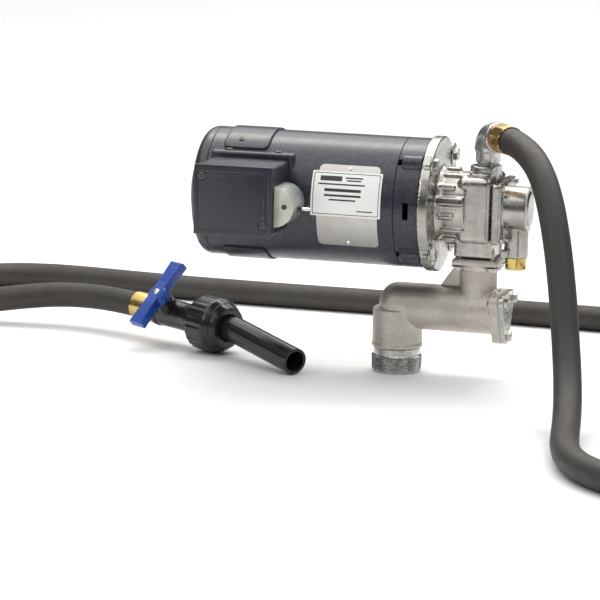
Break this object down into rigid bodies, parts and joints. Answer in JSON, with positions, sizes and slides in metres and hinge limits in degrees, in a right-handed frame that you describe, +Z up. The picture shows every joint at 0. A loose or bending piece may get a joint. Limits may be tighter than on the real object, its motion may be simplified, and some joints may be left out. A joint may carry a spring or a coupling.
{
  "type": "gear oil pump",
  "caption": "Electric gear oil pump that screws into a drum bung, with its motor, suction housing, discharge elbow, hose and hand nozzle with a ball valve.",
  "frame": {"origin": "centre of the bung adapter's lower end face, on the surface that the pump stands on", "axes": "+X along the motor from its rear end towards the pump, +Y towards the back, +Z up"},
  "size_m": [1.3027, 0.9454, 0.308],
  "materials": {
    "navy_paint": "satin",
    "die_cast": "bright",
    "sand_cast": "matte",
    "galvanised": "satin",
    "zinc_bolts": "satin",
    "steel": "satin",
    "magnet": "matte",
    "copper": "satin",
    "carbon": "matte",
    "brass": "bright",
    "cream_plate": "satin",
    "name_plate_metal": "brushed",
    "lever_metal": "bright",
    "hose_rubber": "matte",
    "seal_rubber": "matte",
    "black_plastic": "gloss",
    "blue_plastic": "satin"
  },
  "bodies": {
    "root": {"motor_shell": "navy_paint", "rear_end_bell": "navy_paint", "front_end_bell": "navy_paint", "magnet_front": "magnet", "magnet_back": "magnet", "conduit_box": "navy_paint", "conduit_box_cover": "navy_paint", "switch_guard": "cream_plate", "toggle_switch_body": "black_plastic", "brush_cover_top": "navy_paint", "brush_cover_bottom": "navy_paint", "brush_holder_top": "brass", "brush_holder_bottom": "brass", "brush_top": "carbon", "brush_bottom": "carbon", "rear_bearing": "steel", "front_bearing": "steel", "name_plate": "name_plate_metal", "pump_body": "die_cast", "pump_cover": "die_cast", "shaft_seal": "seal_rubber", "body_bush": "brass", "cover_bush": "brass", "idler_pin": "steel", "bypass_cap": "brass", "bypass_spring": "steel", "flange_bolt_1": "zinc_bolts", "flange_bolt_2": "zinc_bolts", "flange_bolt_3": "zinc_bolts", "flange_bolt_4": "zinc_bolts", "suction_housing": "sand_cast", "strainer_screen": "steel", "strainer_cover": "galvanised", "bung_adapter": "galvanised", "suction_bolt_1": "zinc_bolts", "suction_bolt_2": "zinc_bolts", "suction_bolt_3": "zinc_bolts", "suction_bolt_4": "zinc_bolts", "strainer_bolt_1": "zinc_bolts", "strainer_bolt_2": "zinc_bolts", "strainer_bolt_3": "zinc_bolts", "discharge_elbow": "galvanised", "hose_fitting_pump": "brass", "hose": "hose_rubber", "hose_fitting_nozzle": "brass", "nozzle_valve_body": "black_plastic", "union_nut": "black_plastic", "spout": "black_plastic"},
    "rotor": {"motor_shaft": "steel", "armature": "steel", "commutator": "copper", "cooling_fan": "black_plastic", "shaft_coupling": "steel", "pump_shaft": "steel", "drive_gear": "steel"},
    "idler": {"idler_gear": "steel"},
    "poppet": {"bypass_poppet": "steel"},
    "toggle": {"toggle_lever": "lever_metal"},
    "nozzle_handle": {"valve_handle": "blue_plastic", "valve_ball": "steel"}
  },
  "joints": [
    {"name": "rotor_spin", "type": "hinge", "parent": "root", "child": "rotor", "pos_m": [0, -0.015, 0.207], "axis": [1, 0, 0], "continuous": true},
    {"name": "idler_spin", "type": "hinge", "parent": "root", "child": "idler", "pos_m": [0.1078, 0.015, 0.207], "axis": [1, 0, 0], "continuous": true},
    {"name": "bypass_slide", "type": "slide", "parent": "root", "child": "poppet", "axis": [0, 0, -1], "range_m": [0, 0.006], "stiffness_N_per_m": 1500, "springref_m": -0.01, "deforming": ["bypass_spring"]},
    {"name": "switch_toggle", "type": "hinge", "parent": "root", "child": "toggle", "pos_m": [-0.092, -0.118, 0.2065], "axis": [0, 1, 0], "range_deg": [-12, 12]},
    {"name": "nozzle_valve", "type": "hinge", "parent": "root", "child": "nozzle_handle", "pos_m": [-0.29854, 0.05195, 0.03767], "axis": [-0.3095, -0.6363, 0.7066], "range_deg": [0, 90]}
  ],
  "couplings": [
    {"joint": "idler_spin", "follows": "rotor_spin", "ratio": -1}
  ]
}
